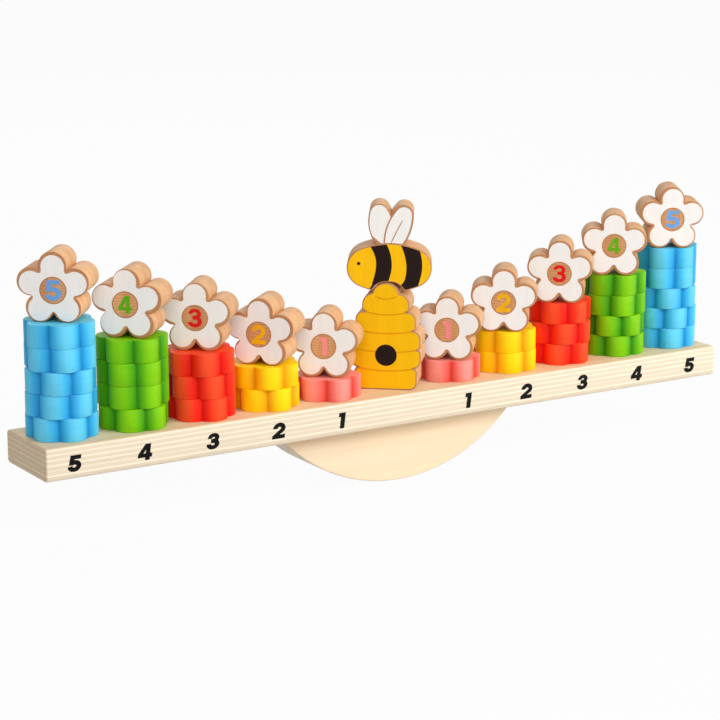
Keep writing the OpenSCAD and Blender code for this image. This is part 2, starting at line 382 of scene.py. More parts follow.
@dataclass(frozen=True)
class SatinPaint:
    """Satin paint on wood with a faint grain, paler on worn edges; deeper in hue in the grooves between
    lobes from pooling paint and from painted shade, darkened in the notches by painted shade, and paler on
    the lobes' crowns by a painted highlight.
    """

    name: str
    colour: Colour
    edge_fade: float = 0.14
    # Strength of the painted highlight that pales the lobes' crowns.
    crown_fade: float = 0.6
    # How far the paler colour goes towards white; it serves the worn edges and the painted highlight on the
    # crowns.
    thin: float = 0.4
    # Power that deepens the colour in the grooves, for pooling paint and for painted shade.
    pooled: float = 1.7
    relief: float = 0.035
    gloss: float = 0.18

    def material(self) -> bpy.types.Material:
        """Builds the paint.

        Returns:
            The material.
        """
        graph = Graph(self.name)
        grain = graph.noise((60, 420, 420), 4.0, 0.4)
        cloud = graph.noise((55, 55, 55), 3.0)
        groove = graph.attribute(GROOVE)
        # Paler colour, for the worn edges and for the painted highlight on the lobes' crowns.
        pale = tuple(c + (255 - c) * self.thin * math.sqrt(c / 255) for c in self.colour)
        # Deeper colour for the grooves between lobes: partly paint pooling there, partly painted shade.
        deep = tuple(255 * (c / 255) ** self.pooled for c in self.colour)
        # Painted highlight: the lobes' crowns are paled.
        colour = graph.mix(graph.ramp(groove, [(0.1, self.crown_fade), (0.6, 0.0)]), self.colour, pale)
        # The grooves take the deeper colour, partly as painted shade.
        colour = graph.mix(graph.ramp(groove, [(0.4, 0.0), (0.95, 1.0)]), colour, deep)
        # Painted shade: the notches between lobes are darkened further.
        colour = graph.shade(colour, graph.ramp(groove, [(0.65, 1.0), (1.0, 0.8)]))
        colour = graph.shade(colour, graph.ramp(cloud, [(0.3, 0.95), (0.7, 1.04)]))
        colour = graph.shade(colour, graph.ramp(grain, [(0.3, 0.965), (0.6, 1.01)]))
        worn = graph.math("MULTIPLY", graph.attribute(EDGE), graph.ramp(cloud, [(0.35, 0.2), (0.7, 1.0)]))
        colour = graph.mix(graph.math("MULTIPLY", worn, self.edge_fade), colour, pale)
        rough = graph.ramp(cloud, [(0.3, 0.44), (0.7, 0.54)])
        return graph.finish(colour, rough, grain, self.relief, self.gloss)


@dataclass(frozen=True)
class Ink:
    """Printed ink that lets the wood's grain through a little."""

    name: str
    colour: Colour
    show_through: float = 0.06
    rough: float = 0.5
    rough_spread: float = 0.06
    relief: float = 0.02
    gloss: float = 0.14

    def material(self) -> bpy.types.Material:
        """Builds the ink.

        Returns:
            The material.
        """
        graph = Graph(self.name)
        grain = graph.noise((260, 260, 12), 4.0, 0.4)
        specks = graph.noise((900, 900, 900), 2.0)
        low = 1.0 - self.show_through
        colour = graph.shade(self.colour, graph.ramp(grain, [(0.3, low), (0.65, 1.0)]))
        colour = graph.shade(colour, graph.ramp(specks, [(0.25, low), (0.5, 1.0)]))
        spread = self.rough_spread
        rough = graph.ramp(specks, [(0.3, self.rough - spread), (0.7, self.rough + spread)])
        return graph.finish(colour, rough, grain, self.relief, self.gloss)


def add_piece(
    name: str, mesh: bpy.types.Mesh, material: bpy.types.Material, body: str,
    stands_for: Optional[str] = None,
) -> None:
    """Puts a finished mesh in the scene and on its body.

    Args:
        name: Name of the piece.
        mesh: Mesh in metres, in the shared frame.
        material: Its finish.
        body: Body that it moves with.
        stands_for: Node that it replaces, if any.
    """
    mesh.name = name
    mesh.materials.clear()
    mesh.materials.append(material)
    piece = bpy.data.objects.new(name, mesh)
    bpy.context.scene.collection.objects.link(piece)
    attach(piece, body)
    if stands_for:
        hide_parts(stands_for)
    LOG.info("%s on %s: %d faces", name, body, len(mesh.polygons))


def finished_mesh(shape: bmesh.types.BMesh, place: Matrix, smooth: bool) -> bpy.types.Mesh:
    """Turns a shape in millimetres into a placed mesh in metres.

    Args:
        shape: The shape, which is used up.
        place: Its place in the shared frame, in millimetres.
        smooth: Whether its faces are shaded smoothly, but for its creases.

    Returns:
        The mesh.
    """
    shape.transform(Matrix.Scale(MM, 4) @ place)
    for face in shape.faces:
        face.smooth = smooth
    mesh = bpy.data.meshes.new("shape")
    shape.to_mesh(mesh)
    shape.free()
    if smooth:
        mesh.set_sharp_from_angle(angle=CREASE)
    return mesh


def standing(x: float, y: float, z: float, turn: float) -> Matrix:
    """Place of a flat shape stood upright, its front turned to the beam's left end.

    Args:
        x: Place along the beam in millimetres.
        y: Place from front to back.
        z: Height.
        turn: Turn in degrees.

    Returns:
        Matrix from the flat shape, seen from its front, to the shared frame.
    """
    upright = Matrix.Rotation(math.radians(90), 4, "X")
    return Matrix.Translation((x, y, z)) @ Matrix.Rotation(math.radians(-turn), 4, "Z") @ upright


def narrowed(
    inside: Callable[[float], bool], near: float, far: float, rounds: int,
) -> tuple[float, float]:
    """Closes in on the place where a line leaves a shape.

    Args:
        inside: Whether a distance along the line lies in the shape.
        near: Distance that does.
        far: Distance that does not.
        rounds: Number of halvings.

    Returns:
        The last distances inside and outside.
    """
    for _ in range(rounds):
        half = (near + far) / 2
        near, far = (half, far) if inside(half) else (near, half)
    return near, far


def trace(
    inside: Field, centre: Sequence[float], count: int, reach: float = 80.0, stride: float = 0.2,
) -> np.ndarray:
    """Follows the outline of a shape all round a point that sees the whole of it.

    Args:
        inside: Signed distance to the outline, negative inside.
        centre: The point.
        count: Number of outline points.
        reach: Distance that is outside in every direction.
        stride: Length of the steps that look for the outline.

    Returns:
        Outline points in order, turning left.
    """
    middle = np.array(centre, float)
    points = []
    for angle in np.linspace(0, 2 * math.pi, count, endpoint=False):
        ray = np.array([math.cos(angle), math.sin(angle)])
        near, far = 0.0, 0.0
        while inside(middle + far * ray) < 0 and far < reach:
            near, far = far, far + stride
        near, far = narrowed(lambda along: inside(middle + along * ray) < 0, near, far, 24)
        points.append(middle + near * ray)
    return np.array(points)


@dataclass
class Outline:
    """Closed flat outline, all of it seen from its middle or straight from an upright spine through it."""

    points: np.ndarray
    middle: tuple[float, float] = (0.0, 0.0)
    spine: float = 0.0
    fineness: int = 12

    def __post_init__(self) -> None:
        """Lays dense points along the outline, to measure from."""
        ends = np.roll(self.points, -1, axis=0)
        shares = np.linspace(0, 1, self.fineness, endpoint=False)
        dense = np.concatenate([self.points + (ends - self.points) * t for t in shares])
        self.near = kdtree.KDTree(len(dense))
        for index, (x, y) in enumerate(dense):
            self.near.insert((x, y, 0.0), index)
        self.near.balance()

    def inset(self, depth: float) -> np.ndarray:
        """Draws the outline in by a depth, point for point along the lines to the spine.

        Args:
            depth: Distance from the outline.

        Returns:
            The inner outline's points.
        """
        if depth <= 0:
            return self.points
        result = []
        for point in self.points:
            rise = min(max(point[1] - self.middle[1], -self.spine), self.spine)
            middle = np.array(self.middle) + (0.0, rise)
            reach = np.linalg.norm(point - middle)
            ray = (point - middle) / reach
            near, far = 0.0, 0.0
            while self.depth_at(middle + (reach - far) * ray) < depth and far < reach * 0.9:
                near, far = far, far + max(depth / 4, 0.05)
            far = narrowed(
                lambda along: self.depth_at(middle + (reach - along) * ray) < depth, near, far, 12,
            )[1]
            result.append(middle + (reach - far) * ray)
        return np.array(result)

    def depth_at(self, point: np.ndarray) -> float:
        """Distance of a point from the outline."""
        return self.near.find((point[0], point[1], 0.0))[2]


def join_rows(shape: bmesh.types.BMesh, rows: Sequence[Sequence[bmesh.types.BMVert]]) -> None:
    """Joins closed rows of points with faces, each row to the next.

    Args:
        shape: The shape that the points are in.
        rows: The rows, all with the same number of points.
    """
    for low, high in zip(rows, rows[1:]):
        count = len(low)
        for i in range(count):
            k = (i + 1) % count
            shape.faces.new((low[i], low[k], high[k], high[i]))


def rounded_slab(outline: Outline, thickness: float, edge: float, steps: int = 4) -> bmesh.types.BMesh:
    """Makes a slab of an outline, with rounded edges, centred on its middle plane.

    Args:
        outline: Outline of the slab.
        thickness: Thickness.
        edge: Radius of the rounded edges.
        steps: Faces across one rounded edge.

    Returns:
        The shape, with a point value that marks its edges.
    """
    shape = bmesh.new()
    marks = shape.verts.layers.float.new(EDGE)
    flat = thickness / 2 - edge
    lip, wall, faint = 2.2 * edge, 0.9 * flat, 0.4
    profile = [(lip, thickness / 2, 1.0), (edge, thickness / 2, 1.0)]
    for step in range(steps - 1, -1, -1):
        angle = math.pi / 2 * step / steps
        mark = 1.0 if step else faint
        profile.append((edge * (1 - math.cos(angle)), flat + edge * math.sin(angle), mark))
    profile.append((0.0, wall, 0.0))
    loops = {inset: outline.inset(inset) for inset, _, _ in profile}
    rows = []
    for inset, height, mark in [(i, -h, m) for i, h, m in profile] + profile[::-1]:
        row = [shape.verts.new((x, y, height)) for x, y in loops[inset]]
        for vert in row:
            vert[marks] = mark
        rows.append(row)
    join_rows(shape, rows)
    shape.faces.new(rows[0][::-1])
    shape.faces.new(rows[-1])
    return shape


def plate(
    outer: np.ndarray, low: float, high: float, inner: Optional[np.ndarray] = None,
) -> bmesh.types.BMesh:
    """Makes a thin plate of an outline, with a hole if an inner outline is given.

    Args:
        outer: Outline points, turning left.
        low: Height of its underside.
        high: Height of its top.
        inner: As many points of a hole's outline, or nothing.

    Returns:
        The shape.
    """
    shape = bmesh.new()
    rings = [(outer, low), (outer, high)]
    if inner is not None:
        rings += [(inner, high), (inner, low)]
    rows = [[shape.verts.new((x, y, z)) for x, y in ring] for ring, z in rings]
    if inner is not None:
        join_rows(shape, [*rows, rows[0]])
    else:
        join_rows(shape, rows)
        shape.faces.new(rows[0][::-1])
        shape.faces.new(rows[1])
    return shape


def thickened(shape: bmesh.types.BMesh, low: float) -> bmesh.types.BMesh:
    """Gives a flat sheet a thickness, down to a height.

    Args:
        shape: The sheet, which is changed.
        low: Height of the underside.

    Returns:
        The same shape.
    """
    made = bmesh.ops.extrude_face_region(shape, geom=list(shape.faces))
    for vert in [g for g in made["geom"] if isinstance(g, bmesh.types.BMVert)]:
        vert.co.z = low
    bmesh.ops.recalc_face_normals(shape, faces=list(shape.faces))
    return shape


def sheet_plate(grid: np.ndarray, low: float, high: float) -> bmesh.types.BMesh:
    """Makes a thin plate of a grid of points.

    Args:
        grid: Points by row and column, columns to the right of and rows over each other.
        low: Height of its underside.
        high: Height of its top.

    Returns:
        The shape.
    """
    shape = bmesh.new()
    tops = [[shape.verts.new((x, y, high)) for x, y in row] for row in grid]
    for low_row, high_row in zip(tops, tops[1:]):
        for i in range(len(low_row) - 1):
            shape.faces.new((low_row[i], low_row[i + 1], high_row[i + 1], high_row[i]))
    return thickened(shape, low)


def arc(
    centre: Sequence[float], reach: Sequence[float], start: float, end: float, step: float = 8.0,
) -> list[tuple[float, float]]:
    """Points along a part of an ellipse.

    Args:
        centre: Its centre.
        reach: Its half width and half height.
        start: First angle in degrees.
        end: Last angle in degrees.
        step: Angle between two points, at most.

    Returns:
        The points in order.
    """
    angles = np.radians(np.linspace(start, end, 2 + int(abs(end - start) / step)))
    return [(centre[0] + reach[0] * math.cos(a), centre[1] + reach[1] * math.sin(a)) for a in angles]


def circle(radius: float, count: int, middle: Sequence[float] = (0.0, 0.0)) -> np.ndarray:
    """Outline points of a round disc, turning left from its top."""
    angles = np.linspace(0, math.tau, count, endpoint=False)
    return radius * np.stack([-np.sin(angles), np.cos(angles)], axis=1) + middle


def numeral(digit: int) -> list[list[tuple[float, float]]]:
    """Outlines of a bold printed numeral, one high: the outer one and that of a hole, if any.

    Args:
        digit: The numeral, from 1 to 5.

    Returns:
        The outlines.
    """
    if digit == 1:
        return [[(0.14, 0), (0.37, 0), (0.37, 1), (0, 1), (0, 0.79), (0.14, 0.79)]]
    if digit == 2:
        bowl, bar = (0.37, 0.66), [(0.37, 0.21), (0.74, 0.21), (0.74, 0), (0, 0), (0, 0.165)]
        return [arc(bowl, (0.36, 0.34), 178, -38) + bar + arc(bowl, (0.14, 0.13), -38, 178)]
    if digit == 3:
        upper, lower = (0.35, 0.72), (0.35, 0.31)
        outer = arc(upper, (0.32, 0.28), 180, -42) + arc(lower, (0.36, 0.31), 46, -176)
        inner = arc(lower, (0.14, 0.11), -176, 90) + [(0.24, 0.42), (0.24, 0.615)]
        return [outer + inner + arc(upper, (0.115, 0.095), -90, 180)]
    if digit == 4:
        stem = [(0.44, 0), (0.66, 0), (0.66, 0.19), (0.78, 0.19), (0.78, 0.38), (0.66, 0.38), (0.66, 1)]
        outer = stem + [(0.38, 1), (0, 0.36), (0, 0.19), (0.44, 0.19)]
        return [outer, [(0.235, 0.38), (0.44, 0.38), (0.44, 0.71)]]
    bowl, bar = (0.35, 0.335), [(0.055, 0.44), (0.1, 1), (0.66, 1), (0.66, 0.8), (0.295, 0.8)]
    return [bar + arc(bowl, (0.36, 0.335), 102, -168) + arc(bowl, (0.14, 0.125), -168, 138)]


def swollen(loop: Sequence[tuple[float, float]], by: float) -> np.ndarray:
    """Moves a closed outline out on all sides, by less at its sharpest corners.

    Args:
        loop: Its points in order.
        by: Distance, negative to move it in.

    Returns:
        The moved points.
    """
    points = np.array(loop)
    ahead = np.roll(points, -1, axis=0) - points
    across = np.stack([ahead[:, 1], -ahead[:, 0]], axis=1)
    across /= np.linalg.norm(across, axis=1, keepdims=True)
    area = float(np.sum(points[:, 0] * ahead[:, 1] - points[:, 1] * ahead[:, 0]))
    outward = math.copysign(1.0, area)
    corner = across + np.roll(across, 1, axis=0)
    corner /= np.linalg.norm(corner, axis=1, keepdims=True)
    slant = np.maximum(np.sum(corner * across, axis=1, keepdims=True), BLUNTEST_SLANT)
    return points + by * outward * corner / slant


def digit_plate(
    digit: int, height: float, width: float, lean: float, low: float, high: float, bold: float = 0.0,
) -> bmesh.types.BMesh:
    """Makes the thin plate of a printed numeral, centred on its place.

    Args:
        digit: The numeral.
        height: Its height.
        width: Stretch of its width.
        lean: Slant to the right.
        low: Height of its underside.
        high: Height of its top.
        bold: Distance that its strokes swell to each side.

    Returns:
        The shape.
    """
    loops = []
    for loop in numeral(digit):
        flat = [(height * (x * width + (y - 0.5) * lean), height * (y - 0.5)) for x, y in loop]
        loops.append([Vector((x, y, high)) for x, y in swollen(flat, -bold if loops else bold)])
    middle = (min(p.x for p in loops[0]) + max(p.x for p in loops[0])) / 2
    shape = bmesh.new()
    verts = [shape.verts.new((p.x - middle, p.y, p.z)) for loop in loops for p in loop]
    for corners in tessellate_polygon(loops):
        shape.faces.new([verts[i] for i in corners])
    return thickened(shape, low)


class LobedBlock:
    """Geometry Nodes tree of a block with round lobes about its middle and rounded edges."""

    ROWS = 14
    ARC_ROWS = 3.5
    LIP_ROW = 4.0
    RING_ROW = 5.0
    MIDDLE_ROW = 6.0
    LIP = 1.4
    RING = 0.72
    SEAM = 1e-6

    def __init__(self) -> None:
        """Builds the tree once, for every counter and flower."""
        self.tree = bpy.data.node_groups.new("lobed_block", "GeometryNodeTree")
        self.names: dict[str, str] = {}
        for label, kind in (
            ("Lobes", "Int"), ("Steps", "Int"), ("Lobe Radius", "Float"), ("Lobe Distance", "Float"),
            ("Thickness", "Float"), ("Edge", "Float"), ("Turn", "Float"), ("Attitude", "Vector"),
            ("Place", "Vector"), ("Finish", "Material"),
        ):
            socket = self.tree.interface.new_socket(label, in_out="INPUT", socket_type="NodeSocket" + kind)
            self.names[label] = socket.identifier
        self.tree.interface.new_socket("Geometry", in_out="OUTPUT", socket_type="NodeSocketGeometry")
        self.given = self.tree.nodes.new("NodeGroupInput").outputs
        self.wire()

    def node(
        self, kind: str, inputs: Iterable[tuple[object, object]] = (), **settings: object,
    ) -> bpy.types.Node:
        """Adds a node, sets its properties and feeds its inputs.

        Args:
            kind: Kind of node.
            inputs: Its input sockets by name or number, each with a socket or a constant.
            settings: Values of its properties by name.

        Returns:
            The node.
        """
        made = self.tree.nodes.new(kind)
        for key, value in settings.items():
            setattr(made, key, value)
        for socket, value in inputs:
            if isinstance(value, bpy.types.NodeSocket):
                self.tree.links.new(value, made.inputs[socket])
            else:
                made.inputs[socket].default_value = value
        return made

    def math(self, operation: str, first: object, second: object = 0.0) -> bpy.types.NodeSocket:
        """Combines two numbers."""
        return self.node("ShaderNodeMath", [(0, first), (1, second)], operation=operation).outputs[0]

    def wire(self) -> None:
        """Wires the tree: a grid, wrapped round the lobes and over the edges."""
        do, given = self.math, self.given
        around = do("MULTIPLY", given["Lobes"], given["Steps"])
        grid = self.node("GeometryNodeMeshGrid", [
            ("Size X", 1.0), ("Size Y", 1.0),
            ("Vertices X", do("ADD", around, 1.0)), ("Vertices Y", self.ROWS),
        ])
        split = self.node("ShaderNodeSeparateXYZ", [(0, self.node("GeometryNodeInputPosition").outputs[0])])
        across = do("ADD", split.outputs["X"], 0.5)
        row = do("MULTIPLY", split.outputs["Y"], self.ROWS - 1.0)
        level = do("ABSOLUTE", row)
        lobe = do("MULTIPLY", across, given["Lobes"])
        off = do("SUBTRACT", lobe, do("ROUND", lobe))
        # Groove: 0 on a lobe's crown, 1 in the notch between lobes, on the sides only; the counters' paint
        # reads it for painted shade in the grooves and a painted highlight on the crowns.
        groove = do("MULTIPLY", do("ABSOLUTE", off), 2.0)
        groove = do("MULTIPLY", groove, do("LESS_THAN", level, self.LIP_ROW))
        off = do("MULTIPLY", off, do("DIVIDE", 2 * math.pi, given["Lobes"]))
        side = do("MULTIPLY", given["Lobe Distance"], do("SINE", off))
        rest = do("SUBTRACT", do("POWER", given["Lobe Radius"], 2.0), do("POWER", side, 2.0))
        reach = do("ADD", do("MULTIPLY", given["Lobe Distance"], do("COSINE", off)), do("SQRT", rest))
        bend = do("MULTIPLY", do("MINIMUM", level, self.ARC_ROWS), math.pi / 2 / self.ARC_ROWS)
        drawn = do("SUBTRACT", 1.0, do("COSINE", bend))
        drawn = do("ADD", drawn, do("MULTIPLY", do("GREATER_THAN", level, self.LIP_ROW), self.LIP))
        radius = do("SUBTRACT", reach, do("MULTIPLY", given["Edge"], drawn))
        inner = do("GREATER_THAN", level, self.RING_ROW)
        middle = do("GREATER_THAN", level, self.MIDDLE_ROW)
        share = do("SUBTRACT", 1.0, do("MULTIPLY", inner, 1.0 - self.RING))
        share = do("SUBTRACT", share, do("MULTIPLY", middle, self.RING))
        radius = do("MULTIPLY", radius, share)
        flat = do("SUBTRACT", do("MULTIPLY", given["Thickness"], 0.5), given["Edge"])
        height = do("ADD", flat, do("MULTIPLY", given["Edge"], do("SINE", bend)))
        height = do("MULTIPLY", height, do("SIGN", row))
        angle = do("ADD", do("MULTIPLY", across, 2 * math.pi), given["Turn"])
        spot = self.node("ShaderNodeCombineXYZ", [
            ("X", do("MULTIPLY", radius, do("COSINE", angle))),
            ("Y", do("MULTIPLY", radius, do("SINE", angle))), ("Z", height),
        ])
        edge = do("MULTIPLY", do("GREATER_THAN", level, 1.0), do("LESS_THAN", level, self.RING_ROW))
        made = grid.outputs["Mesh"]
        for name, value in ((EDGE, edge), (GROOVE, groove)):
            made = self.node("GeometryNodeStoreNamedAttribute", [
                ("Geometry", made), ("Name", name), ("Value", value),
            ], data_type="FLOAT", domain="POINT").outputs[0]
        for kind, inputs in (
            ("SetPosition", [("Position", spot.outputs[0])]),
            ("MergeByDistance", [("Distance", self.SEAM)]),
            ("SetShadeSmooth", []),
            ("Transform", [("Translation", given["Place"]), ("Rotation", given["Attitude"])]),
            ("RealizeInstances", []),
            ("SetMaterial", [("Material", given["Finish"])]),
        ):
            made = self.node("GeometryNode" + kind, [("Geometry", made), *inputs]).outputs[0]
        self.node("NodeGroupOutput", [(0, made)])

    def mesh(self, **sizes: object) -> bpy.types.Mesh:
        """Makes one block.

        Args:
            sizes: Values of the tree's inputs by name, with _ for a space, in metres and radians.

        Returns:
            A plain mesh.
        """
        holder = bpy.data.objects.new("block", bpy.data.meshes.new("block"))
        bpy.context.scene.collection.objects.link(holder)
        modifier = holder.modifiers.new("block", "NODES")
        modifier.node_group = self.tree
        for label, value in sizes.items():
            modifier[self.names[label.replace("_", " ")]] = value
        graph = bpy.context.evaluated_depsgraph_get()
        made = bpy.data.meshes.new_from_object(holder.evaluated_get(graph))
        holder.modifiers.clear()
        bpy.data.objects.remove(holder)
        made.set_sharp_from_angle(angle=CREASE)
        return made


@dataclass(frozen=True)
class Lamp:
    """Soft square lamp that looks at the object, its place and width in metres and its power in watts."""

    name: str
    place: tuple[float, float, float]
    width: float
    power: float

    def hang(self, target: Vector) -> None:
        """Hangs the lamp in the scene.

        Args:
            target: Place in metres that it looks at.
        """
        data = bpy.data.lights.new(self.name, "AREA")
        data.size, data.energy = self.width, self.power
        lamp = bpy.data.objects.new(self.name, data)
        lamp.location = self.place
        lamp.rotation_euler = (target - Vector(self.place)).to_track_quat("-Z", "Y").to_euler()
        bpy.context.scene.collection.objects.link(lamp)


@dataclass
class Studio:
    """White studio: floor, soft lights and the camera at the photograph's place."""

    eye: tuple[float, float, float] = (-712.5, -1104.4, 379.0)
    heading: float = 32.18
    pitch: float = 13.33
    lens: float = 117.36
    sensor: float = 36.0
    clip: tuple[float, float] = (0.05, 60.0)
    floor_size: float = 14.0
    floor_white: float = 0.95
    floor_grey: float = 208.0
    floor_rough: float = 0.9
    sky: float = 0.3
    target_height: float = 80.0
    lamps: tuple[Lamp, ...] = (
        Lamp("key", (0.74, -1.2, 1.05), 0.7, 14.0),
        Lamp("fill", (-0.8, -1.25, 1.0), 1.4, 13.5),
        Lamp("side", (1.2, -1.0, 0.4), 0.8, 6.0),
        Lamp("back", (0.5, 1.4, 1.2), 1.4, 10.0),
    )

    def camera(self) -> None:
        """Sets up the camera."""
        data = bpy.data.cameras.new("camera")
        data.lens = self.lens
        data.sensor_width = self.sensor
        data.clip_start, data.clip_end = self.clip
        camera = bpy.data.objects.new("camera", data)
        camera.location = Vector(self.eye) * MM
        camera.rotation_euler = (math.radians(90 - self.pitch), 0, math.radians(-self.heading))
        bpy.context.scene.collection.objects.link(camera)
        bpy.context.scene.camera = camera

    def floor(self) -> None:
        """Lays the white floor, which keeps the object's soft shadow."""
        shape = bmesh.new()
        bmesh.ops.create_grid(shape, x_segments=1, y_segments=1, size=self.floor_size / 2 / MM)
        floor = bpy.data.objects.new("floor", finished_mesh(shape, Matrix.Identity(4), False))
        graph = Graph("studio_white")
        graph.feed(graph.shader.inputs["Base Color"], linear((self.floor_grey,) * 3))
        graph.feed(graph.shader.inputs["Roughness"], self.floor_rough)
        seen = graph.node("ShaderNodeLightPath").outputs
        rays = graph.math("MAXIMUM", seen["Is Camera Ray"], seen["Is Glossy Ray"])
        rays = graph.math("MAXIMUM", rays, seen["Is Transmission Ray"])
        glow = graph.node("ShaderNodeEmission")
        mixed = graph.node("ShaderNodeMixShader")
        graph.feed(mixed.inputs[0], graph.math("MULTIPLY", rays, self.floor_white))
        graph.feed(mixed.inputs[1], graph.shader.outputs[0])
        graph.feed(mixed.inputs[2], glow.outputs[0])
        graph.feed(graph.tree.nodes["Material Output"].inputs["Surface"], mixed.outputs[0])
        floor.data.materials.append(graph.material)
        bpy.context.scene.collection.objects.link(floor)

    def build(self) -> None:
        """Sets up the whole studio."""
        scene = bpy.context.scene
        scene.view_settings.view_transform = "Standard"
        world = bpy.data.worlds.new("studio_sky")
        world.use_nodes = True
        backdrop = world.node_tree.nodes["Background"]
        backdrop.inputs["Color"].default_value = (1, 1, 1, 1)
        backdrop.inputs["Strength"].default_value = self.sky
        scene.world = world
        self.camera()
        self.floor()
        for lamp in self.lamps:
            lamp.hang(Vector((0, 0, self.target_height * MM)))


@dataclass
class Base:
    """Beam on its half-moon rocker, with the printed digits."""

    edge: float = 1.0
    beam_corner: float = 2.0
    corner_step: float = 18.0
    rocker_radius: float = 105.0
    rocker_edge: float = 0.8
    rocker_middle: float = 0.6
    rim_points: int = 120
    top_points: int = 60
    beam_plies: int = 13
    rocker_plies: int = 21
    rocker_veneer: Colour = (250, 227, 193)
    rocker_streak: Colour = (243, 214, 176)
    digit_height: float = 8.4
    digit_bold: float = 0.31
    digit_middle: float = -2.0
    digit_drop: float = 0.5
    digit_first: float = 42.9
    digit_pitch: float = 41.17
    digit_width: float = 1.2
    digit_lean: float = 0.13
    ink: Ink = Ink("beam_ink", (8, 6, 6), 0.1)

    def build(self) -> None:
        """Builds the beam, the rocker, the dowels' finish and the digits."""
        low, high = (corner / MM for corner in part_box("beam"))
        self.beam(low, high)
        self.rocker()
        dowels = bpy.data.objects["rocker_dowels"]
        dowels.data.materials.clear()
        dowels.data.materials.append(BlockWood("dowel_beech", scorched=0.0).material())
        self.digits(low, high)

    def beam(self, low: Vector, high: Vector) -> None:
        """Builds the beam's board, its front set back by the thickness of the print.

        Args:
            low: Lowest corner of the beam.
            high: Highest corner of the beam.
        """
        depth, height, length = high.y - low.y - 2 * PRINT, high.z - low.z, high.x - low.x
        radii = (self.beam_corner, self.beam_corner)
        corners = []
        for x, y, start in ((1, 1, 0), (-1, 1, 90), (-1, -1, 180), (1, -1, 270)):
            centre = x * (depth / 2 - self.beam_corner), y * (height / 2 - self.beam_corner)
            corners += arc(centre, radii, start, start + 90, self.corner_step)
        shape = rounded_slab(Outline(np.array(corners)), length, self.edge)
        along = Matrix(((0, 0, 1, 0), (1, 0, 0, 0), (0, 1, 0, (low.z + high.z) / 2), (0, 0, 0, 1)))
        wood = Plywood("beam_plywood", "Z", low.z, high.z, self.beam_plies).material()
        add_piece("beam_board", finished_mesh(shape, along, True), wood, "base", "beam")

    def rocker(self) -> None:
        """Builds the half-moon rocker."""
        low, high = (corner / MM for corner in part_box("rocker"))
        half = math.asin((high.x - low.x) / 2 / self.rocker_radius)
        rim = [
            (self.rocker_radius * math.sin(a), self.rocker_radius * (1 - math.cos(a)))
            for a in np.linspace(-half, half, self.rim_points)
        ]
        top = [(x, high.z) for x in np.linspace(high.x, low.x, self.top_points)[1:-1]]
        outline = Outline(np.array(rim + top), (0.0, high.z * self.rocker_middle))
        shape = rounded_slab(outline, high.y - low.y, self.rocker_edge)
        wood = Plywood(
            "rocker_plywood", "Y", low.y, high.y, self.rocker_plies,
            veneer=self.rocker_veneer, streak=self.rocker_streak,
        ).material()
        mesh = finished_mesh(shape, standing(0, 0, 0, 0), True)
        add_piece("rocker_half_moon", mesh, wood, "base", "rocker")

    def digits(self, low: Vector, high: Vector) -> None:
        """Prints the digits on the beam's front.

        Args:
            low: Lowest corner of the beam.
            high: Highest corner of the beam.
        """
        ink = self.ink.material()
        for side in Side:
            for digit in range(1, 6):
                x = self.digit_middle + side.value * (self.digit_first + (digit - 1) * self.digit_pitch)
                shape = digit_plate(
                    digit, self.digit_height, self.digit_width, self.digit_lean,
                    -PRINT, PRINT, self.digit_bold,
                )
                place = standing(x, low.y + PRINT, (low.z + high.z) / 2 - self.digit_drop, 0)
                mesh = finished_mesh(shape, place, False)
                add_piece(f"beam_digit_{side.word}_{digit}", mesh, ink, "base")


@dataclass
class Towers:
    """Towers of painted counters on both sides of the beam."""

    blocks: LobedBlock
    lobes: int = 6
    lobe_radius: float = 9.2
    reach: float = 19.4
    edge: float = 0.6
    steps: int = 20
    turns: dict[Side, list[list[float]]] = field(default_factory=lambda: {
        Side.LEFT: [[28], [35, 10], [35, 27, 15], [55, 40, 40, 35], [30, 50, 55, 17, 15]],
        Side.RIGHT: [[33], [10, 5], [50, 5, 40], [5, 40, 15, 20], [10, 20, 0, 40, 40]],
    })

    def build(self) -> None:
        """Builds every counter, from the middle of the beam out and from the bottom up."""
        paints = {hue: SatinPaint(f"{hue.word}_satin", hue.value).material() for hue in Hue}
        for side in Side:
            for hue, turns in zip(Hue, self.turns[side]):
                for layer, turn in enumerate(turns, 1):
                    self.counter(f"{side.word}_{hue.word}_counter_{layer}", turn, paints[hue])

    def counter(self, node: str, turn: float, paint: bpy.types.Material) -> None:
        """Builds one counter.

        Args:
            node: Node that it stands for, which is also its body.
            turn: Its turn about the tower in degrees.
            paint: Its finish.
        """
        low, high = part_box(node)
        mesh = self.blocks.mesh(
            Lobes=self.lobes, Steps=self.steps, Lobe_Radius=self.lobe_radius * MM,
            Lobe_Distance=(self.reach - self.lobe_radius) * MM, Thickness=high.z - low.z,
            Edge=self.edge * MM, Turn=math.radians(turn), Attitude=(0.0, 0.0, 0.0),
            Place=tuple((low + high) / 2), Finish=paint,
        )
        add_piece(f"{node}_block", mesh, paint, node, node)


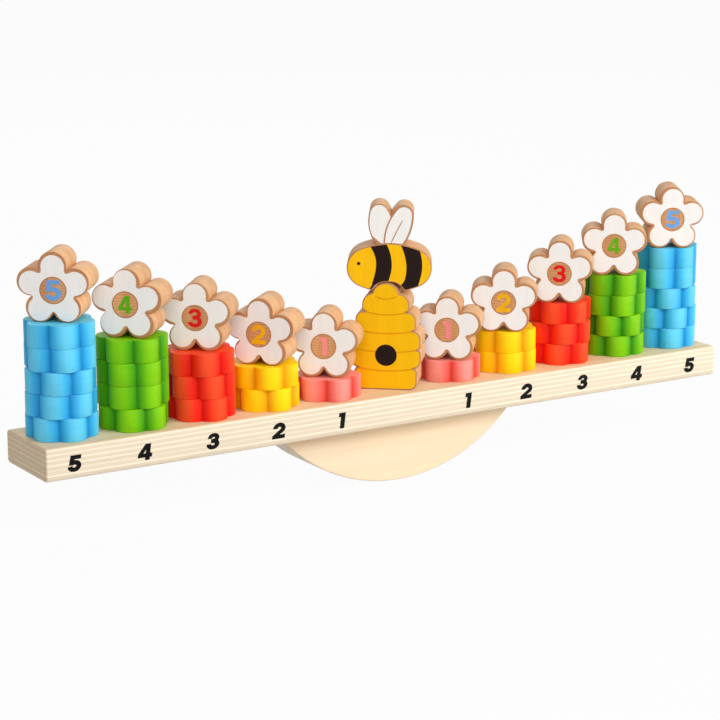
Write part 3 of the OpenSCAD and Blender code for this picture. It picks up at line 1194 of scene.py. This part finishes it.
@dataclass
class NumberFlowers:
    """Standing number flowers: a wooden block with white printed petals and a coloured digit."""

    blocks: LobedBlock
    petals: int = 5
    petal_radius: float = 7.6
    petal_distance: float = 12.4
    edge: float = 0.6
    steps: int = 28
    print_margin: float = 1.3
    disc_radius: float = 7.2
    disc_rim: float = 0.5
    rim_lap: float = 0.1
    petal_points: int = 32
    digit_sizes: tuple[tuple[float, float], ...] = (
        (10.4, 1.2), (10.9, 1.0), (10.4, 1.06), (9.7, 1.0), (10.9, 1.16),
    )
    digit_show_through: float = 0.16
    white: Ink = Ink("petal_white", (246, 242, 238), 0.04)
    rim: Ink = Ink("disc_rim", (188, 128, 84), 0.15)
    bare: BlockWood = BlockWood(
        "disc_wood", (224, 166, 112), (200, 138, 88), scorched=0.0, ring=1.6, ring_depth=0.19,
    )
    digit_colours: tuple[Colour, ...] = (
        (253, 148, 148), (253, 186, 12), (228, 24, 24), (100, 180, 18), (116, 170, 230),
    )
    turns: dict[Side, list[float]] = field(default_factory=lambda: {
        Side.LEFT: [41, 48, 41, 44, 40], Side.RIGHT: [40, 37, 39, 36, 31],
    })
    slips: dict[Side, list[tuple[float, float]]] = field(default_factory=lambda: {
        Side.LEFT: [(-0.3, 0.3), (-0.7, -0.4), (-0.4, 0.5), (-0.8, 0.5), (0.1, -0.6)],
        Side.RIGHT: [(-0.3, 0.2), (-0.1, -0.3), (-0.3, 0.0), (-0.2, 0.4), (0.5, 0.0)],
    })

    def build(self) -> None:
        """Builds every flower, from the middle of the beam out."""
        wood, bare = BlockWood("flower_wood").material(), self.bare.material()
        white, rim = self.white.material(), self.rim.material()
        inks = [
            Ink(f"digit_{number}_ink", colour, self.digit_show_through).material()
            for number, colour in enumerate(self.digit_colours, 1)
        ]
        for side in Side:
            for digit, (turn, slip) in enumerate(zip(self.turns[side], self.slips[side]), 1):
                node = f"{side.word}_number_flower_{digit}"
                place, face = self.block(node, turn, wood)
                place = place @ Matrix.Translation((*slip, 0))
                prints = (
                    ("petals", white, self.petal_print(face)),
                    ("disc", bare, plate(self.disc(0.0), face - PRINT, face + PRINT)),
                    ("disc_rim", rim, self.rim_print(face)),
                    ("digit", inks[digit - 1], self.digit_print(digit, face)),
                )
                for word, ink, shape in prints:
                    mesh = finished_mesh(shape, place, False)
                    add_piece(f"{node}_{word}", mesh, ink, node)

    def blossom(self, radius: float) -> np.ndarray:
        """Outline of the petals, the first one straight up.

        Args:
            radius: Radius of one petal.

        Returns:
            Outline points, turning left.
        """
        angles = np.linspace(0, 2 * math.pi, self.petals * self.petal_points, endpoint=False)
        share = self.petals * angles / (2 * math.pi)
        off = (share - np.round(share)) * 2 * math.pi / self.petals
        side = np.minimum(self.petal_distance * np.abs(np.sin(off)), radius * 0.98)
        reach = self.petal_distance * np.cos(off) + np.sqrt(radius ** 2 - side ** 2)
        return np.stack([-reach * np.sin(angles), reach * np.cos(angles)], axis=1)

    def disc(self, wider: float) -> np.ndarray:
        """Outline of the bare disc, drawn wider, with as many points as the petals' outline."""
        return circle(self.disc_radius + wider, self.petals * self.petal_points)

    def petal_print(self, face: float) -> bmesh.types.BMesh:
        """Makes the petals' print, with a round hole for the bare disc.

        Args:
            face: Height of the printed face.

        Returns:
            The shape.
        """
        outer = self.blossom(self.petal_radius - self.print_margin)
        return plate(outer, face - PRINT, face + PRINT, self.disc(0.0))

    def rim_print(self, face: float) -> bmesh.types.BMesh:
        """Makes the ring round the bare disc, over a printed face at a height."""
        return plate(self.disc(self.rim_lap), face, face + 1.5 * PRINT, self.disc(-self.disc_rim))

    def digit_print(self, digit: int, face: float) -> bmesh.types.BMesh:
        """Makes a flower's digit, over a printed face at a height."""
        return digit_plate(digit, *self.digit_sizes[digit - 1], 0.0, face, face + 2 * PRINT)

    def block(self, node: str, turn: float, wood: bpy.types.Material) -> tuple[Matrix, float]:
        """Builds one flower's block.

        Args:
            node: Node that it stands for, which is also its body.
            turn: Its turn to the beam's left end in degrees.
            wood: Its finish.

        Returns:
            Place of its middle in the shared frame, and the height of its face over it.
        """
        low, high = (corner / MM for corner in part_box(node))
        foot = self.petal_radius + self.petal_distance * math.cos(math.pi / self.petals)
        x, y, z = (low.x + high.x) / 2, (low.y + high.y) / 2, low.z + foot
        thickness = self.thickness(high.x - low.x, turn)
        mesh = self.blocks.mesh(
            Lobes=self.petals, Steps=self.steps, Lobe_Radius=self.petal_radius * MM,
            Lobe_Distance=self.petal_distance * MM, Thickness=thickness * MM, Edge=self.edge * MM,
            Turn=math.pi / 2, Attitude=(math.pi / 2, 0.0, math.radians(-turn)),
            Place=(x * MM, y * MM, z * MM), Finish=wood,
        )
        add_piece(f"{node}_block", mesh, wood, node, node)
        return standing(x, y, z, turn), thickness / 2

    def thickness(self, width: float, turn: float) -> float:
        """Thickness of a turned flower.

        Args:
            width: Its width along the beam.
            turn: Its turn in degrees.

        Returns:
            The thickness in millimetres.
        """
        half = self.petal_radius + self.petal_distance * math.cos(math.radians(90 - 360 / self.petals))
        angle = math.radians(turn)
        return (width - 2 * half * math.cos(angle)) / math.sin(angle)


@dataclass
class Hive:
    """Beehive block with a printed face."""

    turn: float = 41.0
    thickness: float = 21.0
    foot_height: float = 12.7
    band_height: float = 10.9
    widths: tuple[float, ...] = (36.0, 40.4, 40.0, 34.8, 27.2)
    lower_bands: int = 2
    outer_corner: float = 4.6
    inner_corner: float = 2.2
    shoulder: float = 7.0
    cap_radius: float = 8.0
    cap_sink: float = 2.1
    cap_line: float = 0.4
    edge: float = 0.6
    margin: float = 0.8
    line_width: float = 0.9
    line_sag: float = 1.7
    line_margin: float = 0.7
    door: tuple[float, float] = (0.2, 20.2)
    door_radius: float = 6.25
    door_points: int = 64
    floor_points: int = 24
    line_points: int = 41
    spine_middle: float = 31.0
    spine: float = 22.0
    yellow: Ink = Ink("hive_yellow", (255, 196, 0), 0.05)
    line: Ink = Ink("hive_line", (236, 160, 0), 0.05)
    dark: Ink = Ink("hive_dark", (32, 13, 8), 0.12)

    def tops(self) -> list[float]:
        """Heights at which the bands end, from the bottom up."""
        return [self.foot_height + i * self.band_height for i in range(len(self.widths))]

    def corners(self, band: int) -> tuple[float, float]:
        """Radii of a band's corners, smaller on the side of the widest band.

        Args:
            band: Number of the band, from 0 at the bottom.

        Returns:
            Radii of its lower and of its upper corners.
        """
        if band < self.lower_bands:
            return self.outer_corner, self.inner_corner
        return self.inner_corner, self.shoulder if band == len(self.widths) - 1 else self.outer_corner

    def outline(self) -> Outline:
        """Draws the block's outline over its foot: the bands, the cap and the floor.

        Returns:
            The outline.
        """
        right, low = [], 0.0
        for band, (width, top) in enumerate(zip(self.widths, self.tops())):
            lower, upper = self.corners(band)
            right += arc((width / 2 - lower, low + lower), (lower, lower), -90, 0)
            right += arc((width / 2 - upper, top - upper), (upper, upper), 0, 90, 3.0)
            low = top
        low -= self.cap_sink
        right = [(x, y) for x, y in right if math.hypot(x, y - low) > self.cap_radius]
        lift = math.degrees(math.atan2(right[-1][1] - low, right[-1][0]))
        cap = arc((0.0, low), (self.cap_radius, self.cap_radius), lift, 180 - lift, 4.0)
        floor = [(x, 0.0) for x in np.linspace(-right[0][0], right[0][0], self.floor_points)[1:-1]]
        left = [(-x, y) for x, y in right[::-1]]
        return Outline(np.array(right + cap + left + floor), (0.0, self.spine_middle), self.spine)

    def build(self) -> None:
        """Builds the block and its prints."""
        low, high = (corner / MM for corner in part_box("hive"))
        place = standing((low.x + high.x) / 2, (low.y + high.y) / 2, low.z, self.turn)
        face = self.thickness / 2
        outline = self.outline()
        block = rounded_slab(outline, self.thickness, self.edge)
        wood = BlockWood("hive_wood").material()
        add_piece("hive_block", finished_mesh(block, place, True), wood, "hive", "hive")
        shape = plate(outline.inset(self.margin), face - PRINT, face + PRINT)
        prints = [("face", self.yellow.material(), shape)]
        ink = self.line.material()
        lines = [*self.tops()[:-1], self.tops()[-1] - self.cap_sink + self.cap_line]
        for number, top in enumerate(lines, 1):
            above = self.widths[number] if number < len(self.widths) else 2 * self.cap_radius
            half = min(self.widths[number - 1], above) / 2 - self.margin - self.line_margin
            prints.append((f"line_{number}", ink, self.band_line(half, top, face)))
        door = circle(self.door_radius, self.door_points, self.door)
        prints.append(("door", self.dark.material(), plate(door, face, face + 2 * PRINT)))
        for word, ink, shape in prints:
            add_piece(f"hive_{word}", finished_mesh(shape, place, False), ink, "hive")

    def band_line(self, half: float, top: float, face: float) -> bmesh.types.BMesh:
        """Makes one sagging line between two bands.

        Args:
            half: Half the length of the line.
            top: Height of its ends.
            face: Height of the printed face.

        Returns:
            The shape.
        """
        x = np.linspace(-half, half, self.line_points)
        middle = top - self.line_sag * (1 - (x / half) ** 2)
        swell = self.line_width / 2 * np.sqrt(np.clip(1 - (x / half) ** 8, 0.05, 1))
        grid = np.stack([np.stack([x, middle + s * swell], axis=1) for s in (-1, 0, 1)])
        return sheet_plate(grid, face, face + 1.5 * PRINT)


@dataclass(frozen=True)
class Oval:
    """Flat oval of four arcs."""

    length: float
    width: float
    end_radius: float
    middle: tuple[float, float] = (0.0, 0.0)
    turn: float = 0.0

    def distance(self, point: np.ndarray) -> float:
        """Signed distance of a point to the outline.

        Args:
            point: The point.

        Returns:
            The distance, negative inside.
        """
        aside, over = point[0] - self.middle[0], point[1] - self.middle[1]
        cos, sin = math.cos(math.radians(self.turn)), math.sin(math.radians(self.turn))
        x, y = abs(aside * cos + over * sin), abs(over * cos - aside * sin)
        place, rise = self.length / 2 - self.end_radius, self.width / 2 - self.end_radius
        drop = (place ** 2 - rise ** 2) / (2 * rise)
        if place * (y + drop) - drop * x < 0:
            return math.hypot(x - place, y) - self.end_radius
        return math.hypot(x, y + drop) - self.width / 2 - drop


@dataclass
class Bee:
    """Bee block that straddles the hive's cap, with a printed face."""

    turn: float = 34.0
    askew: float = 7.0
    thickness: float = 21.0
    body: Oval = Oval(48.2, 28.2, 11.5)
    left_wing: Oval = Oval(24.6, 14.0, 5.6, (-4.8, 24.5), 98)
    right_wing: Oval = Oval(28.6, 14.4, 5.6, (5.1, 22.3), 69)
    notch_place: float = -0.7
    notch_depth: float = 5.5
    seat_gap: float = 0.35
    cap_radius: float = 8.0
    edge: float = 0.6
    margin: float = 0.7
    rim: float = 1.2
    wing_cut: tuple[tuple[float, float], tuple[float, float]] = ((-10.3, 18.9), (-4.3, 14.0))
    stripe_1: tuple[tuple[float, ...], tuple[float, ...]] = ((-11.1, -7.4, -10.6), (-0.5, 1.4, -1.4))
    stripe_2: tuple[tuple[float, ...], tuple[float, ...]] = ((6.6, 9.7, 6.6), (16.3, 18.6, 17.4))
    eye: tuple[float, float] = (-17.3, 2.5)
    eye_radius: float = 0.95
    eye_points: int = 32
    block_points: int = 600
    body_points: int = 240
    wing_points: int = 120
    middle: tuple[float, float] = (0.6, 9.0)
    body_middle: tuple[float, float] = (0.0, 2.0)
    wing_lap: float = 0.28
    wing_line_margin: float = 0.3
    vein: tuple[float, ...] = (0.6, 13.6, 7.6, 27.6)
    vein_width: float = 0.65
    vein_bow: float = 0.15
    yellow: Ink = Ink("bee_yellow", (255, 194, 0), 0.05)
    dark: Ink = Ink("bee_dark", (32, 13, 8), 0.12)
    white: Ink = Ink("wing_white", (246, 242, 238), 0.04)
    brown: Ink = Ink("wing_outline", (190, 140, 104), 0.1)

    def notch(self, point: np.ndarray) -> float:
        """Distance outside the notch in the belly, which clears the cap that lies askew in it.

        Args:
            point: The place on the flat outline.

        Returns:
            The distance, negative in the notch.
        """
        angle = math.radians(self.askew)
        below = self.cap_radius + self.body.width / 2 - self.notch_depth
        aside = max(0.0, abs(point[0] - self.notch_place) - self.thickness / 2 * math.tan(angle))
        return math.hypot(aside, point[1] + below) - self.cap_radius / math.cos(angle) - self.seat_gap

    def whole(self, point: np.ndarray) -> float:
        """Signed distance to the outline of the whole block."""
        forms = (self.body, self.left_wing, self.right_wing)
        return max(min(form.distance(point) for form in forms), -self.notch(point))

    def build(self) -> None:
        """Builds the block and its prints."""
        low, high = (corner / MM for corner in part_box("hive"))
        height = high.z - self.notch_depth + self.body.width / 2
        place = standing((low.x + high.x) / 2, (low.y + high.y) / 2, height, self.turn)
        place = place @ Matrix.Translation((-self.notch_place, 0, 0))
        face = self.thickness / 2
        outline = Outline(trace(self.whole, self.middle, self.block_points), self.middle)
        block = rounded_slab(outline, self.thickness, self.edge)
        wood = BlockWood("bee_wood").material()
        add_piece("bee_block", finished_mesh(block, place, True), wood, "bee", "bee")
        inks = {ink.name: ink.material() for ink in (self.yellow, self.dark, self.white, self.brown)}

        def printed(name: str, ink: Ink, shape: bmesh.types.BMesh) -> None:
            """Lays one print on the face."""
            add_piece(name, finished_mesh(shape, place, False), inks[ink.name], "bee")

        body = trace(self.body_print, self.body_middle, self.body_points)
        printed("bee_body_print", self.yellow, plate(body, face - PRINT, face + PRINT))
        printed("bee_stripe_1", self.dark, self.stripe(*self.stripe_1, face))
        printed("bee_stripe_2", self.dark, self.stripe(*self.stripe_2, face))
        eye = circle(self.eye_radius, self.eye_points, self.eye)
        printed("bee_eye", self.dark, plate(eye, face, face + 2 * PRINT))
        self.wing_prints(printed, face)

    def body_print(self, point: np.ndarray) -> float:
        """Signed distance to the outline of the body's print."""
        return max(self.body.distance(point) + self.margin, self.margin - self.notch(point))

    def stripe(self, left: tuple[float, ...], right: tuple[float, ...], face: float) -> bmesh.types.BMesh:
        """Makes one curved stripe across the body.

        Args:
            left: Its left edge at the belly, the middle and the back.
            right: Its right edge there.
            face: Height of the printed face.

        Returns:
            The shape.
        """
        shares = np.linspace(0, 1, 25)
        belly, back = 2 * (shares - 0.5) * (shares - 1), 2 * shares * (shares - 0.5)
        weights = np.stack([belly, 4 * shares * (1 - shares), back])
        edges = np.array(left) @ weights, np.array(right) @ weights
        rows = []
        for share, start, end in zip(shares, *edges):
            row = []
            for x in np.linspace(start, end, 13):
                span = [self.reach(x, way) for way in (-1, 1)]
                row.append((x, span[0] + (span[1] - span[0]) * share))
            rows.append(row)
        return sheet_plate(np.array(rows), face, face + 2 * PRINT)

    def reach(self, x: float, way: int) -> float:
        """Height at which the body's print ends, over or under a place along the body.

        Args:
            x: The place along the body.
            way: 1 for over it, -1 for under it.

        Returns:
            The height.
        """
        def inside(rise: float) -> bool:
            """Whether a height over or under the place is on the print."""
            return self.body_print(np.array([x, way * rise])) < 0

        return way * narrowed(inside, 0.0, self.body.width, 30)[0]

    def wing_print(self, wing: Oval, margin: float) -> np.ndarray:
        """Outline of a wing's print, which ends at the body and is cut aslant at the bee's head.

        Args:
            wing: The wing.
            margin: Distance of the print from the wing's edge.

        Returns:
            Outline points, turning left.
        """
        start, end = (np.array(spot) for spot in self.wing_cut)
        across = np.array([end[1] - start[1], start[0] - end[0]]) / np.linalg.norm(end - start)

        def inside(point: np.ndarray) -> float:
            """Signed distance to the print's outline."""
            root = max(self.wing_lap - self.body.distance(point), float((point - start) @ across))
            return max(wing.distance(point) + margin, root)

        return trace(inside, wing.middle, self.wing_points)

    def wing_prints(self, printed: Callable[[str, Ink, bmesh.types.BMesh], None], face: float) -> None:
        """Lays the wings' prints, the right wing over the left one.

        Args:
            printed: Lays one print.
            face: Height of the printed face.
        """
        left = self.wing_print(self.left_wing, self.margin)
        printed("bee_wing_left", self.white, plate(left, face - PRINT, face + PRINT))
        for name, ink, margin, high in (
            ("outline", self.brown, self.wing_line_margin, 1.5), ("right", self.white, self.rim, 2.0),
        ):
            right = self.wing_print(self.right_wing, margin)
            printed(f"bee_wing_{name}", ink, plate(right, face - PRINT, face + high * PRINT))
        start, end = np.array(self.vein[:2]), np.array(self.vein[2:])
        aside = np.array([-(end - start)[1], (end - start)[0]]) / np.linalg.norm(end - start)
        steps = np.linspace(0, 1, 17)
        swell = self.vein_width / 2 * np.sqrt(np.clip(1 - (2 * steps - 1) ** 6, 0.03, 1))
        bow = self.vein_bow * np.sin(math.pi * steps)
        grid = np.stack([
            start + np.outer(steps, end - start) + np.outer(bow + s * swell, aside) for s in (1, 0, -1)
        ])
        printed("bee_wing_vein", self.brown, sheet_plate(grid, face + PRINT, face + 2.5 * PRINT))


def main() -> None:
    """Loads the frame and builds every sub-assembly."""
    logging.basicConfig(level=logging.INFO, format="%(message)s")
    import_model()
    Studio().build()
    Base().build()
    blocks = LobedBlock()
    Towers(blocks).build()
    NumberFlowers(blocks).build()
    Hive().build()
    Bee().build()


if __name__ == "__main__":
    main()
